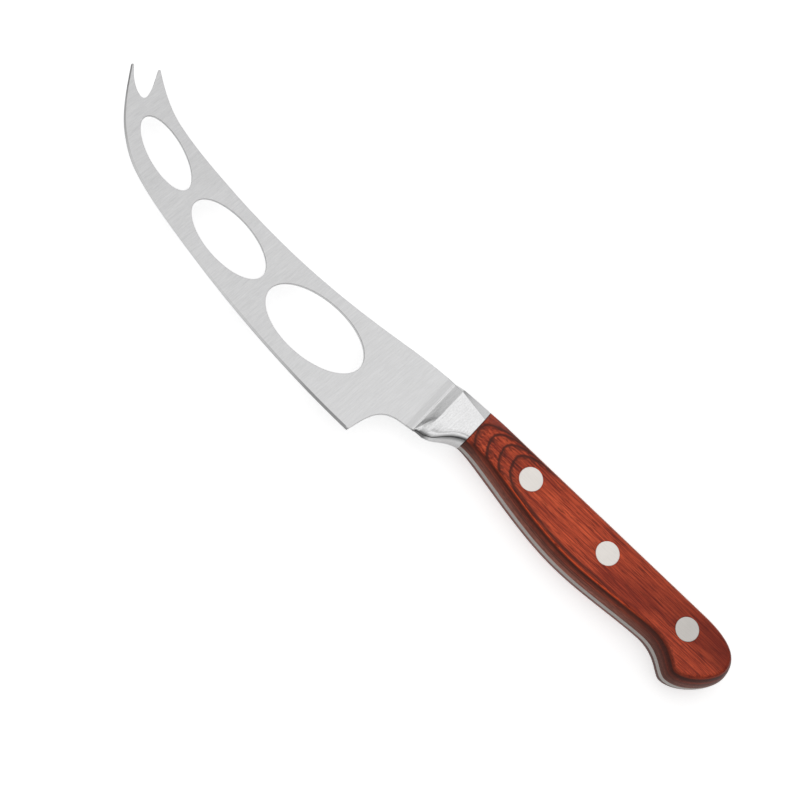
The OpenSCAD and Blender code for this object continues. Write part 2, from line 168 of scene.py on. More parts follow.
SPINE = [
    (SHORT_TIP.x + TINE_TIP_R, SHORT_TIP.y, -0.72),
    (FORE_X, TIP.y - 3.7, -0.26),
    (MID_X, mix(WAIST_Y, TIP.y, 0.19), -0.11),
    (WAIST_X, WAIST_Y, 0.0),
    (mix(WAIST_X, ROOT_X, 0.75), mix(WAIST_Y, HANDLE_RISE, 0.62), 0.15),
    (CREST_X, HANDLE_RISE - 0.3, 0.05),
    (0.0, HANDLE_RISE, 0.0)]
EDGE = [
    (TIP.x, TIP.y - TINE_TIP_R, -1.55),
    (TIP.x + 12.5, TIP.y - 16.6, -0.86),
    (FORE_X, TIP.y - 23.1, -0.4),
    (MID_X, mix(HEEL.y, TIP.y, 0.215), -0.2),
    (HEEL.x, HEEL.y, 0.0)]
CHOIL_END = Vector((HEEL.x + 9.4, SCOOP.y - 1.0))
CHOIL = [
    HEEL,
    Vector((HEEL.x + 1.7, mix(HEEL.y, CHOIL_END.y, 0.55))),
    Vector((HEEL.x + 2.3, CHOIL_END.y - 1.2)),
    CHOIL_END]
UNDER = [(CHOIL_END.x, CHOIL_END.y, 0.15), (SCOOP.x, SCOOP.y, 0.1)]
SCOOP_CURVE = [
    (SCOOP.x, SCOOP.y, 0.6),
    (0.6 * SCOOP.x, mix(SCOOP.y, THROAT.y, 0.46), 0.88),
    (0.0, THROAT.y, 0.28)]


def spine_y(x):
    return curve(SPINE, x)


def edge_y(x):
    return curve(EDGE, min(x, HEEL.x))


def under_y(x):
    return curve(UNDER, x) if x < SCOOP.x else curve(SCOOP_CURVE, x)


PLATE_STEPS = {
    "spine": 150, "short tip": 4, "short side": 24, "notch": 14, "long side": 28, "long tip": 12,
    "edge": 170, "choil": 32}


def plate_outline():
    """Outline of the blade ahead of the grind, from the spine round the fork and the edge to the choil."""
    n = PLATE_STEPS
    spine = [Vector((x, spine_y(x))) for x in span(ROOT_X, SHORT_TIP.x + TINE_TIP_R, n["spine"])]
    to_middle = Vector((TINE_TIP_R, -TINE_TIP_R))
    short_tip = arc(SHORT_TIP + to_middle, TINE_TIP_R, 90, 180, n["short tip"], 1)
    long_tip = arc(TIP + to_middle, TINE_TIP_R, 40, 180, n["long tip"])
    notch_end = NOTCH_MID + Vector((NOTCH_R, 0))
    notch_low = NOTCH_MID - Vector((0, NOTCH_R))
    short_side = bezier([
        short_tip[-1], short_tip[-1] + SHORT_PULL, notch_end + END_PULL, notch_end], n["short side"], 1)
    notch = arc(NOTCH_MID, NOTCH_R, 0, -90, n["notch"], 1)
    long_side = bezier([
        notch_low, notch_low + LOW_PULL, long_tip[0] + LONG_PULL, long_tip[0]], n["long side"], 1)
    edge = [Vector((x, edge_y(x))) for x in spread(TIP.x, HEEL.x, n["edge"], 1)]
    choil = bezier(CHOIL, n["choil"], 1)
    root = Vector((ROOT_X, under_y(ROOT_X)))
    return spine + short_tip + short_side + notch + long_side + long_tip[1:] + edge + choil + [root]


# Thickness of the steel

def flat_plane():
    """Slope and level of the blade's flat side, through spine root, spine at the fork and edge at the heel."""
    root = Vector((ROOT_X, spine_y(ROOT_X), ROOT_HALF))
    fork = Vector((SHORT_TIP.x, SHORT_TIP.y, FORK_HALF))
    heel = Vector((HEEL.x, HEEL.y + BEVEL_H, HEEL_HALF))
    normal = (fork - root).cross(heel - root)
    slope = Vector((-normal.x / normal.z, -normal.y / normal.z))
    return slope, root.z - slope.x * root.x - slope.y * root.y


FLAT_SLOPE, FLAT_LEVEL = flat_plane()


def flat_half(x, y):
    return FLAT_LEVEL + FLAT_SLOPE.x * x + FLAT_SLOPE.y * y


def plate_half(p):
    """Half thickness of the blade, with its sharpened bevel."""
    flat = flat_half(p.x, p.y)
    rise = p.y - edge_y(p.x)
    if rise >= BEVEL_H:
        return flat
    shoulder = flat_half(p.x, edge_y(p.x) + BEVEL_H)
    land = LAND_T / 2
    return min(flat, land + (shoulder - land) * max(rise, 0) / BEVEL_H)


def grind_share(x):
    """Rise from the blade (0) up the ground facet to the crest (1), eased in over the bend at its foot."""
    t = x - FACET_X
    past = max(t, 0) if abs(t) >= FACET_BEND else (t + FACET_BEND) ** 2 / (4 * FACET_BEND)
    return past / (CREST_X - FACET_X)


def steel_half(x, y):
    if x <= CREST_X:
        return mix(flat_half(x, y), CREST_HALF, grind_share(x))
    return CREST_HALF + WEDGE_SLOPE * (x - CREST_X)


def handle_half(x):
    if x >= FLARE_LEN:
        return FACE_HALF
    return hermite((0, SEAM_HALF, WEDGE_SLOPE), (FLARE_LEN, FACE_HALF, 0), x)


def top_r(x):
    if x <= CREST_X:
        return mix(BLADE_EASE_R, CREST_TOP_R, ease((x - ROOT_X) / GRIND_LEN))
    if x <= 0:
        return mix(CREST_TOP_R, SEAM_TOP_R, 1 - x / CREST_X)
    return mix(SEAM_TOP_R, FACE_EDGE_R, ease(x / FLARE_LEN))


def under_r(x):
    return mix(BLADE_EASE_R, FACE_EDGE_R, ease((x - ROOT_X) / GRIND_LEN))


def crown(x, z):
    """How far the handle's rounded sides curve in at height z; the blade's edges stay straight."""
    return ease((x - ROOT_X) / GRIND_LEN) * (SIDE_R - math.sqrt(SIDE_R ** 2 - z * z))


def drawn_in(x, z, half, r):
    """How far a side with a rounded edge is drawn in at height z."""
    over = max(z - half + r, 0)
    return crown(x, z) + r - math.sqrt(max(r * r - over * over, 0))


def top_draw(x, z, half):
    """The same on top, where the bolster's edge is ground to a flat facet that fades into the handle."""
    r = top_r(x)
    drawn = drawn_in(x, z, half, r)
    if z <= half - r:
        return drawn
    wide = r * (1 + FACET_WIDEN * clamp(x / CREST_X))
    facet = mix(crown(x, half - r), crown(x, half) + wide, (z - half + r) / r)
    share = ease((x - ROOT_X) / GRIND_LEN) if x <= 0 else 1 - ease(x / FACET_FADE)
    return mix(drawn, facet, share)


def oval_share(x):
    """Share of the oval in the underside: none on the blade, all of it on the bolster."""
    return ease(grind_share(x)) if x <= CREST_X else 1 - ease(x / OVAL_LEN)


def under_draw(x, z, half):
    """How far the underside is drawn in at height z."""
    keel = mix(FRONT_KEEL_H, KEEL_H, ease((x - CREST_X) / KEEL_BLEND))
    oval = keel * (1 - math.sqrt(max(1 - (z / half) ** 2, 0)))
    return mix(drawn_in(x, z, half, under_r(x)), oval, oval_share(x))


def sweep(x, y):
    """Forward sweep of the crest towards the underside."""
    ahead = clamp((x - FACET_X) / (CREST_X - FACET_X))
    behind = 1 - ease((x - CREST_X) / SWEEP_AFT)
    return CREST_SWEEP * min(ahead, behind) * (max(-y, 0) / -SCOOP.y) ** 3


# Meshes

PHI = [math.radians(15 * i) for i in range(1, 7)]
WALL_STEPS = 7
BORE_STEPS, RIVET_STEPS = 72, 96
# Width of the strip that holds a rounded edge's shading, and distances at which points are one, in mm
SUPPORT = 0.1
WELD, MERGE = 0.0005, 1e-6
# Limits of a mitre, and of the blade's rounded edges as a share of its half thickness
MITRE_LIMIT, EASE_LIMIT = 0.6, 0.45


def vertex(bm, x, y, z):
    return bm.verts.new((x, y, z))


def strips(bm, rows, closed=False):
    """Quads between neighbouring rows of vertices."""
    for a, b in zip(rows, rows[1:]):
        n = len(a)
        for i in range(n if closed else n - 1):
            j = (i + 1) % n
            bm.faces.new((a[i], a[j], b[j], b[i]))


def inside(points, polygon):
    """Which of the points (n, 2) lie inside the polygon (m, 2)."""
    x, y = points[:, 0][:, None], points[:, 1][:, None]
    ax, ay = polygon[:, 0], polygon[:, 1]
    bx, by = np.roll(ax, -1), np.roll(ay, -1)
    straddles = (ay > y) != (by > y)
    with np.errstate(divide="ignore", invalid="ignore"):
        crossing = ax + (y - ay) * (bx - ax) / (by - ay)
    return (np.sum(straddles & (x < crossing), axis=1) % 2).astype(bool)


def nearest(points, loop):
    """Distance of each of the points (n, 2) from the nearest point of a loop (m, 2)."""
    gap = points[:, None] - loop[None]
    return np.min(np.hypot(gap[..., 0], gap[..., 1]), axis=1)


def flat(loop):
    return np.array([(v.co.x, v.co.y) for v in loop])


def fill(bm, outer, holes=(), lines=(), points=()):
    """Triangles between loops of vertices, with inner lines and points."""
    verts, edges = [], []
    for loop in [outer, *holes]:
        first, n = len(verts), len(loop)
        verts += loop
        edges += [(first + i, first + (i + 1) % n) for i in range(n)]
    for line in lines:
        first = len(verts)
        verts += line
        edges += [(first + i, first + i + 1) for i in range(len(line) - 1)]
    verts += points
    coords = [Vector((v.co.x, v.co.y)) for v in verts]
    triangles, sources = delaunay_2d_cdt(coords, edges, [], 0, MERGE, True)[2:4]
    corners = [verts[ids[0]] for ids in sources]
    middles = np.array([[sum(corners[i].co[k] for i in t) / 3 for k in (0, 1)] for t in triangles])
    kept = inside(middles, flat(outer))
    for hole in holes:
        kept &= ~inside(middles, flat(hole))
    for triangle, keep in zip(triangles, kept):
        if keep:
            bm.faces.new([corners[i] for i in triangle])


def inward(points, closed, first=None, last=None):
    """Mitred normals to the left of a run of points."""
    n = len(points)
    normals = []
    for i in range(n):
        if not closed and i == 0:
            normals.append(first)
            continue
        if not closed and i == n - 1:
            normals.append(last)
            continue
        before = points[i] - points[i - 1]
        after = points[(i + 1) % n] - points[i]
        a = Vector((-before.y, before.x)).normalized()
        b = Vector((-after.y, after.x)).normalized()
        m = (a + b).normalized()
        normals.append(m / max(m.dot(a), MITRE_LIMIT))
    return normals


def wall_fractions(f):
    return [0, f / 2] + span(f, 1, WALL_STEPS)


def plate_rows(bm, points, normals, fractions):
    """Rows from the middle of the steel up its wall, round its edge and onto its flat side."""
    rows = [[] for _ in range(WALL_STEPS + 3 + len(PHI) + 1)]
    for p, n, f in zip(points, normals, fractions):
        half = plate_half(p)
        r = min(BLADE_EASE_R, EASE_LIMIT * half)
        column = [(p, t * (half - r)) for t in wall_fractions(f)]
        for phi in PHI:
            q = p + n * r * (1 - math.cos(phi))
            column.append((q, plate_half(q) - r * (1 - math.sin(phi))))
        q = p + n * (r + SUPPORT)
        column.append((q, plate_half(q)))
        for row, (q, z) in zip(rows, column):
            row.append(vertex(bm, q.x, q.y, z))
    return rows


TOP_FRACTION = TANG_HALF / (SEAM_HALF - SEAM_TOP_R)
UNDER_FRACTION = TANG_HALF / (SEAM_HALF - FACE_EDGE_R)
SIDE_STEPS = 14


def oval_heights(half, low, n):
    """Heights that part an oval evenly, from low up to its fullest place."""
    return [half * math.sin(a) for a in span(math.asin(low / half), math.pi / 2, n)]


def corner(x, edge, up, r, fraction):
    """Wall and rounded edge of the bolster below (up = 1) or above (up = -1), each point (y, z)."""
    half = steel_half(x, edge)
    heights = [t * (half - r) for t in wall_fractions(fraction)]
    heights += [half - r + r * math.sin(phi) for phi in PHI]
    if up > 0:
        low = half * TANG_HALF / SEAM_HALF
        oval = [0, low / 2] + oval_heights(half, low, len(heights) - 3)
        heights = [mix(a, b, oval_share(x)) for a, b in zip(heights, oval)]
    points = []
    for z in heights:
        y = edge + up * (under_draw(x, z, half) if up > 0 else top_draw(x, z, half))
        points.append((y, z * steel_half(x, y) / half))
    y = points[-1][0] + up * SUPPORT
    points.append((y, steel_half(x, y)))
    return points


def bolster_ring(x):
    lower = corner(x, under_y(x), 1, under_r(x), UNDER_FRACTION)
    upper = corner(x, spine_y(x), -1, top_r(x), TOP_FRACTION)
    side = span(lower[-1][0], upper[-1][0], SIDE_STEPS, 1)[:-1]
    points = lower + [(y, steel_half(x, y)) for y in side] + upper[::-1]
    return [(x - sweep(x, y), y, z) for y, z in points]


def outward(points, i, side, reach):
    """Normal at a point of the handle's outline, smoothed over its neighbours on both sides."""
    if i == 0:
        return Vector((0, -side))
    if i == len(points) - 1:
        return Vector((1, 0))
    k = min(i, len(points) - 1 - i, reach)
    d = points[i + k] - points[i - k]
    return side * Vector((d.y, -d.x)).normalized()


UNDER_STEPS = {"throat": 44, "belly": 18, "hook": 36, "butt": 44}
NORMAL_REACH = 14


def handle_outline():
    """Underside and top of the handle on the steel's middle plane, as (point, outward normal, side)."""
    n = UNDER_STEPS
    under = bezier([THROAT, THROAT + THROAT_PULL, BELLY + BELLY_PULLS[0], BELLY], n["throat"])
    under += bezier([BELLY, BELLY + BELLY_PULLS[1], NECK + NECK_PULLS[0], NECK], n["belly"], 1)
    under += bezier([NECK, NECK + NECK_PULLS[1], HOOK + HOOK_PULLS[0], HOOK], n["hook"], 1)
    straight = len(under)
    hook_turn = Vector((BUTT.x, mix(HOOK.y, BUTT.y, HOOK_TURN)))
    under += bezier([HOOK, HOOK + HOOK_PULLS[1], hook_turn, BUTT], n["butt"], 1)
    top = [Vector((p.x * TOP_BEND.x / HOOK.x, HANDLE_RISE)) for p in under[:straight]]
    top_turn = Vector((BUTT.x, mix(BUTT.y, HANDLE_RISE, TOP_TURN)))
    top += bezier([TOP_BEND, TOP_BEND + TOP_PULL, top_turn, BUTT], n["butt"], 1)
    lower = [(p, outward(under, i, 1, NORMAL_REACH), 1) for i, p in enumerate(under)]
    upper = [(p, outward(top, i, -1, NORMAL_REACH), -1) for i, p in enumerate(top[:-1])]
    return lower + upper[::-1]


HANDLE = handle_outline()


def handle_draw(p, side, z):
    """How far the handle's outline is drawn in at height z, beside a point of it."""
    half = handle_half(p.x)
    return under_draw(p.x, z, half) if side > 0 else top_draw(p.x, z, half)


def circle(bm, centre, r, z, n=BORE_STEPS):
    angles = [2 * math.pi * i / n for i in range(n)]
    return [vertex(bm, centre.x + r * math.cos(a), centre.y + r * math.sin(a), z) for a in angles]


def close_up(bm):
    """Adds the mirror image below the middle plane and welds the two halves."""
    copy = bmesh.ops.duplicate(bm, geom=bm.verts[:] + bm.edges[:] + bm.faces[:])["geom"]
    for item in copy:
        if isinstance(item, bmesh.types.BMVert):
            item.co.z = -item.co.z
    bmesh.ops.remove_doubles(bm, verts=bm.verts[:], dist=WELD)


HOLE_STEPS, HOLE_FRACTION = 160, 0.3
# Line where the bevel begins: its points, its overrun at the heel and its distance from the edges, in mm
SHOULDER_STEPS, SHOULDER_OVERRUN, SHOULDER_CLEAR = 190, 1.0, 0.08
# Rings of the bolster, and their distances from its bend, crest and scoop
RING_STEPS = {"grind": 14, "bend": 14, "facet": 12, "aft": 5, "scoop": 30}
BEND_REACH, CREST_GAP, AFT_GAP, SCOOP_GAP = 1.6, 0.06, 0.25, 0.05


def hole_rows(bm, centre, length, width, tilt):
    turn = Matrix.Rotation(math.radians(tilt), 2)
    angles = [-2 * math.pi * i / HOLE_STEPS for i in range(HOLE_STEPS)]
    loop = [centre + turn @ Vector((length / 2 * math.cos(a), width / 2 * math.sin(a))) for a in angles]
    return plate_rows(bm, loop, inward(loop, True), [HOLE_FRACTION] * HOLE_STEPS)


def add_blade(bm):
    """The blade's near half, with its holes, its fork and the shoulder of its bevel."""
    outline = plate_outline()
    normals = inward(outline, False, Vector((0, -1)), Vector((0, 1)))
    rows = plate_rows(bm, outline, normals, span(TOP_FRACTION, UNDER_FRACTION, len(outline) - 1))
    strips(bm, rows)
    holes = []
    for hole in HOLES:
        around = hole_rows(bm, *hole)
        strips(bm, around, True)
        holes.append(around[-1])
    low, high = rows[-1][-1].co.y, rows[-1][0].co.y
    root = [vertex(bm, ROOT_X, y, flat_half(ROOT_X, y)) for y in span(low, high, SIDE_STEPS, 1)[:-1]]
    xs = spread(TIP.x, HEEL.x + SHOULDER_OVERRUN, SHOULDER_STEPS)
    bevel_top = np.array([(x, edge_y(x) + BEVEL_H) for x in xs])
    clear = nearest(bevel_top, flat(rows[-1])) > SHOULDER_CLEAR
    bevel_top = bevel_top[inside(bevel_top, flat(rows[-1] + root)) & clear]
    shoulder = [vertex(bm, x, y, flat_half(x, y)) for x, y in bevel_top]
    fill(bm, rows[-1] + root, holes, [shoulder])


def add_bolster(bm):
    """The bolster's near half, in rings that crowd at the grind's bend, the crest and the scoop."""
    n = RING_STEPS
    bend = BEND_REACH * FACET_BEND
    stations = span(ROOT_X, FACET_X - bend, n["grind"]) + span(FACET_X - bend, FACET_X + bend, n["bend"], 1)
    stations += span(FACET_X + bend, CREST_X - CREST_GAP, n["facet"], 1) + [CREST_X, CREST_X + CREST_GAP]
    stations += span(CREST_X + AFT_GAP, SCOOP.x - SCOOP_GAP, n["aft"]) + [SCOOP.x]
    stations += span(SCOOP.x + SCOOP_GAP, 0.0, n["scoop"])
    rings = [[vertex(bm, *p) for p in bolster_ring(x)] for x in stations]
    strips(bm, rings)
    seam = rings[-1]
    bm.faces.new(seam[2:-2])


def add_tang(bm):
    """The tang's near half, with its three rivet holes."""
    rows = []
    for z in (0, TANG_HALF / 2, TANG_HALF):
        drawn = [p - n * handle_draw(p, side, z) for p, n, side in HANDLE]
        rows.append([vertex(bm, q.x, q.y, z) for q in drawn])
    strips(bm, rows)
    bores = []
    for centre in RIVETS.values():
        bore = [circle(bm, centre, BARREL_R + RIVET_FIT, z) for z in (0, TANG_HALF)]
        strips(bm, bore, True)
        bores.append(bore[-1])
    fill(bm, rows[-1], bores)


def forging():
    """Blade, bolster and tang in one closed mesh."""
    bm = bmesh.new()
    add_blade(bm)
    add_bolster(bm)
    add_tang(bm)
    bmesh.ops.remove_doubles(bm, verts=bm.verts[:], dist=WELD)
    close_up(bm)
    return bm


EDGE_PHI = [math.radians(a) for a in (90, 75, 60, 45, 30, 15, 0)]
SIDE_LEVELS = 9
RIM_R = 0.08
# Strip along the edge of the face, and the grid on it: step, start, range across and distance from edges
FACE_SUPPORT = 0.25
GRID_STEP, GRID_START, GRID_ACROSS, GRID_CLEAR = 0.7, 0.3, (-14, 10), 0.35


def stepped_hole(bm, centre):
    """Rows of a scale's rivet hole, from the face round its rim, down the counterbore and to the tang."""
    seat_r, bore_r = HEAD_R + RIVET_FIT, BARREL_R + RIVET_FIT
    rows = [circle(bm, centre, seat_r + RIM_R + SUPPORT, FACE_HALF)]
    for phi in EDGE_PHI:
        r = seat_r + RIM_R * (1 - math.cos(phi))
        rows.append(circle(bm, centre, r, FACE_HALF - RIM_R * (1 - math.sin(phi))))
    for r, z in ((seat_r, HEAD_SEAT), (bore_r, HEAD_SEAT), (bore_r, TANG_HALF)):
        rows.append(circle(bm, centre, r, z))
    return rows


def face_grid(face):
    """Points spread over the flat face of a scale, clear of its edge and its holes."""
    xs, ys = np.arange(GRID_START, HANDLE_LEN, GRID_STEP), np.arange(*GRID_ACROSS, GRID_STEP)
    grid = np.array([(x, y) for x in xs for y in ys])
    grid = grid[inside(grid, face)]
    far = nearest(grid, face)
    for centre in RIVETS.values():
        away = np.hypot(grid[:, 0] - centre.x, grid[:, 1] - centre.y)
        far = np.minimum(far, away - HEAD_R - RIVET_FIT - RIM_R - SUPPORT)
    return grid[far > GRID_CLEAR]


def scale_shape():
    """The near scale, with its three stepped rivet holes."""
    bm = bmesh.new()
    rows = [[] for _ in range(len(EDGE_PHI) + SIDE_LEVELS + 1)]
    for p, n, side in HANDLE:
        half = handle_half(p.x)
        r = under_r(p.x) if side > 0 else top_r(p.x)
        heights = [half - r + r * math.sin(a) for a in EDGE_PHI]
        heights += span(half - r, TANG_HALF, SIDE_LEVELS, 1)
        if side > 0:
            oval = oval_heights(half, TANG_HALF, len(heights) - 1)[::-1]
            heights = [mix(a, b, oval_share(p.x)) for a, b in zip(heights, oval)]
        support = p - n * (handle_draw(p, side, half) + FACE_SUPPORT)
        x = max(support.x, 0.0)
        rows[0].append(vertex(bm, x, support.y, handle_half(x)))
        for row, z in zip(rows[1:], heights):
            q = p - n * handle_draw(p, side, z)
            row.append(vertex(bm, q.x, q.y, z))
    strips(bm, rows, True)
    outers, inners = [], []
    for centre in RIVETS.values():
        hole = stepped_hole(bm, centre)
        strips(bm, hole, True)
        outers.append(hole[0])
        inners.append(hole[-1])
    points = [vertex(bm, x, y, handle_half(x)) for x, y in face_grid(flat(rows[0]))]
    fill(bm, rows[0], outers, (), points)
    fill(bm, rows[-1], inners)
    return bm


def turned(profile, centre, n=RIVET_STEPS):
    """Solid of revolution about an upright line, from a profile of (radius, height)."""
    bm = bmesh.new()
    rows = []
    for r, z in profile:
        rows.append([vertex(bm, centre.x, centre.y, z)] if r == 0 else circle(bm, centre, r, z, n))
    for a, b in zip(rows, rows[1:]):
        if len(a) == 1 or len(b) == 1:
            point, loop = (a[0], b) if len(a) == 1 else (b[0], a)
            for i in range(n):
                bm.faces.new((point, loop[i], loop[(i + 1) % n]))
        else:
            strips(bm, [a, b], True)
    return bm


RIVET_RIM_R = 0.12
HEAD_RINGS = (0, 1.2, 2.4, 3.2)


def head_profile():
    """Head of a rivet, from the middle of its face to the foot of its rim, measured down from the face."""
    rim = [(HEAD_R - RIVET_RIM_R * (1 - math.sin(a)), RIVET_RIM_R * (1 - math.cos(a)))
           for a in (0, *PHI)]
    return [(r, 0) for r in HEAD_RINGS] + rim + [(HEAD_R, HEAD_T)]


def sleeve(centre):
    """The hollow half of a rivet, with its head on the near side."""
    end = BARREL_GAP - HEAD_SEAT
    bore_r, bore_end = POST_R + POST_FIT, HEAD_SEAT - POST_STOP
    profile = [(r, FACE_HALF - d) for r, d in head_profile()]
    profile += [(BARREL_R, HEAD_SEAT), (BARREL_R, end), (bore_r, end), (bore_r, bore_end), (0, bore_end)]
    return turned(profile, centre)


def post(centre):
    """The solid half of a rivet, with its head on the far side."""
    end = HEAD_SEAT - POST_STOP - BARREL_GAP
    profile = [(r, d - FACE_HALF) for r, d in head_profile()]
    profile += [(POST_R, -HEAD_SEAT), (POST_R, end), (0, end)]
    return turned(profile, centre)


# Materials

SEAM_X, RIVET_Y, MIDDLE_Z = ROW_SHIFT.x * MM, ROW_SHIFT.y * MM, ROW_SHIFT.z * MM
# Ranges that most values of a broad and of a narrow noise lie in
BROAD, NARROW = (0.3, 0.7), (0.35, 0.65)

# Where the steel's finish and its painted shade change along the knife, in mm: start and end of each change
BLADE_DIM = (-116.85, -26.85)
BEVEL_DIM, BEVEL_END = (-52.85, -40.85), (-25.85, -24.85)
# The band ahead of the bolster, its nose and its scoop are where painted shade lies on the steel
BAND_START, BAND_END = (-15.55, -15.15), (-13.65, -13.25)
SHINE_START = (-13.45, -12.85)
NOSE_START, NOSE_END = (-13.65, -12.65), (-9.45, -7.65)
SCOOP_START = (-7.85, -4.35)
TANG_START = (0.01, 0.05)
REAR_RIVET_SHADE = (68.15, 78.15)
# Run of the brush strokes along the knife, for each millimetre across it
BRUSH_SLANT = 0.09

# Arches in the wood behind the seam, in mm: the first one's front, their spacing, number and middle line
ARCH_X, ARCH_STEP, ARCH_COUNT, ARCH_Y = 0.6, 4.35, 4, 1.8
# How the arms bend back, above and below that line: factors of the square and of the sixth power
ARM_ABOVE, ARM_BELOW = (0.26, 2.85e-4), (0.075, 1.4e-5)
# Where the wood's grain, its painted shade and its painted highlights change along the knife, in mm, and how
# far the last arm lies below the edge of the face
SEAM_LINE, SEAM_DIM, ARCH_END = (0.1, 0.4), (0.0, 9.0), (26.0, 40.0)
ARM_START, ARM_END, ARM_DROP = (12.0, 18.0), (45.0, 68.0), 0.5
EDGE_DIM, REAR_DIM, HOOK_START, HOOK_END = (58.0, 72.0), (46.15, 91.15), (66.0, 80.0), (87.0, 95.0)
# The same across the knife, and up from its middle plane
REAR_RISE, HOOK_DROP = (-6.35, -0.35), (-1.0, -3.5)
RIM_RISE, EDGE_RISE = (5.0, 6.0), (6.2, 6.8)
# Range of the curve that holds the lower edge of the face, in mm
EDGE_SPAN = 20.0

# Colours of the wood: grain from dark to light, the flank's brown with painted shade and a painted highlight
# from the tang outward, and marks
GRAIN_STOPS = [
    (0.40, (0.18, 0.020, 0.012)), (0.46, (0.44, 0.056, 0.024)),
    (0.53, (0.66, 0.092, 0.035)), (0.60, (0.86, 0.135, 0.050))]
FLANK_COLOUR_AND_SHADE_STOPS = [
    (0.15, (0.42, 0.135, 0.085)), (0.40, (0.36, 0.110, 0.070)), (0.55, (0.25, 0.060, 0.035)),
    (0.62, (0.38, 0.060, 0.025)), (0.70, (0.20, 0.035, 0.016)), (0.80, (0.10, 0.016, 0.006)),
    (0.85, (0.25, 0.035, 0.010)), (0.91, (0.98, 0.112, 0.028))]
# Marks: clouds, arches, pores and the seam line, with painted shade at the rear end and round the hook, and a
# painted highlight on the upper edge
CLOUD_TINT, REAR_SHADE_TINT = (0.20, 0.012, 0.008), (0.10, 0.004, 0.002)
ARCH_TINT, HOOK_SHADE_TINT = (0.060, 0.017, 0.012), (0.035, 0.008, 0.006)
RIM_HIGHLIGHT_TINT, PORE_TINT, SEAM_TINT = (0.98, 0.36, 0.22), (0.11, 0.016, 0.008), (0.02, 0.008, 0.006)


class Graph:
    """Nodes of a material or a world under construction."""

    def __init__(self, owner):
        self.owner = owner
        owner.use_nodes = True
        self.tree = owner.node_tree
        self.tree.nodes.clear()

    def add(self, kind, inputs=None, **settings):
        node = self.tree.nodes.new(kind)
        for key, value in settings.items():
            setattr(node, key, value)
        for key, value in (inputs or {}).items():
            if isinstance(value, bpy.types.NodeSocket):
                self.tree.links.new(value, node.inputs[key])
            else:
                node.inputs[key].default_value = value
        return node

    def split(self, vector):
        return self.add("ShaderNodeSeparateXYZ", {0: vector}).outputs

    def math(self, operation, *values):
        return self.add("ShaderNodeMath", dict(enumerate(values)), operation=operation).outputs[0]

    def times(self, first, *others):
        """Product of its values."""
        for value in others:
            first = self.math("MULTIPLY", first, value)
        return first

    def lessened(self, value, share):
        """A value with a share of it, from 0 to 1, taken away."""
        return self.math("MULTIPLY", value, self.math("SUBTRACT", 1.0, share))

    def between(self, a, b, share):
        """From a, where the share is 0, to b, where it is 1."""
        return self.math("MULTIPLY_ADD", self.math("SUBTRACT", b, a), share, a)

    def in_mm(self, value, zero):
        """A coordinate of the row frame, in millimetres from a place on its axis."""
        return self.math("DIVIDE", self.math("SUBTRACT", value, zero), MM)

    def ranged(self, value, low, high, to_low=0.0, to_high=1.0, smooth=False):
        return self.add("ShaderNodeMapRange", {
            "Value": value, "From Min": low, "From Max": high, "To Min": to_low, "To Max": to_high},
            interpolation_type="SMOOTHSTEP" if smooth else "LINEAR").outputs[0]

    def noise(self, place, scale, detail=2.0, roughness=0.5, distortion=0.0):
        mapped = self.add("ShaderNodeMapping", {"Vector": place, "Scale": scale}, vector_type="POINT")
        return self.add("ShaderNodeTexNoise", {
            "Vector": mapped.outputs[0], "Scale": 1.0, "Detail": detail,
            "Roughness": roughness, "Distortion": distortion}).outputs["Fac"]

    def ramp(self, value, stops):
        node = self.add("ShaderNodeValToRGB", {"Fac": value})
        elements = node.color_ramp.elements
        while len(elements) < len(stops):
            elements.new(0.5)
        for element, (place, colour) in zip(elements, stops):
            element.position = place
            element.color = (*colour, 1)
        return node.outputs[0]

    def blend(self, factor, a, b):
        node = self.add("ShaderNodeMix", data_type="RGBA", blend_type="MIX")
        for socket, value in zip((node.inputs[0], node.inputs[6], node.inputs[7]), (factor, a, b)):
            if isinstance(value, bpy.types.NodeSocket):
                self.tree.links.new(value, socket)
            else:
                socket.default_value = (*value, 1)
        return node.outputs[2]

    def metal(self, tone, green, blue):
        """Colour of a brightness, with its shares of green and blue."""
        return self.add("ShaderNodeCombineColor", {
            0: tone, 1: self.math("MULTIPLY", tone, green), 2: self.math("MULTIPLY", tone, blue)}).outputs[0]

    def bump(self, height, strength, depth):
        """Relief of a depth in mm."""
        return self.add("ShaderNodeBump", {
            "Height": height, "Strength": strength, "Distance": depth * MM}).outputs[0]

    def surface(self, **inputs):
        shader = self.add("ShaderNodeBsdfPrincipled", {k.replace("_", " "): v for k, v in inputs.items()})
        self.add("ShaderNodeOutputMaterial", {"Surface": shader.outputs[0]})
        return self.owner


def new_material(name):
    return Graph(bpy.data.materials.new(name))


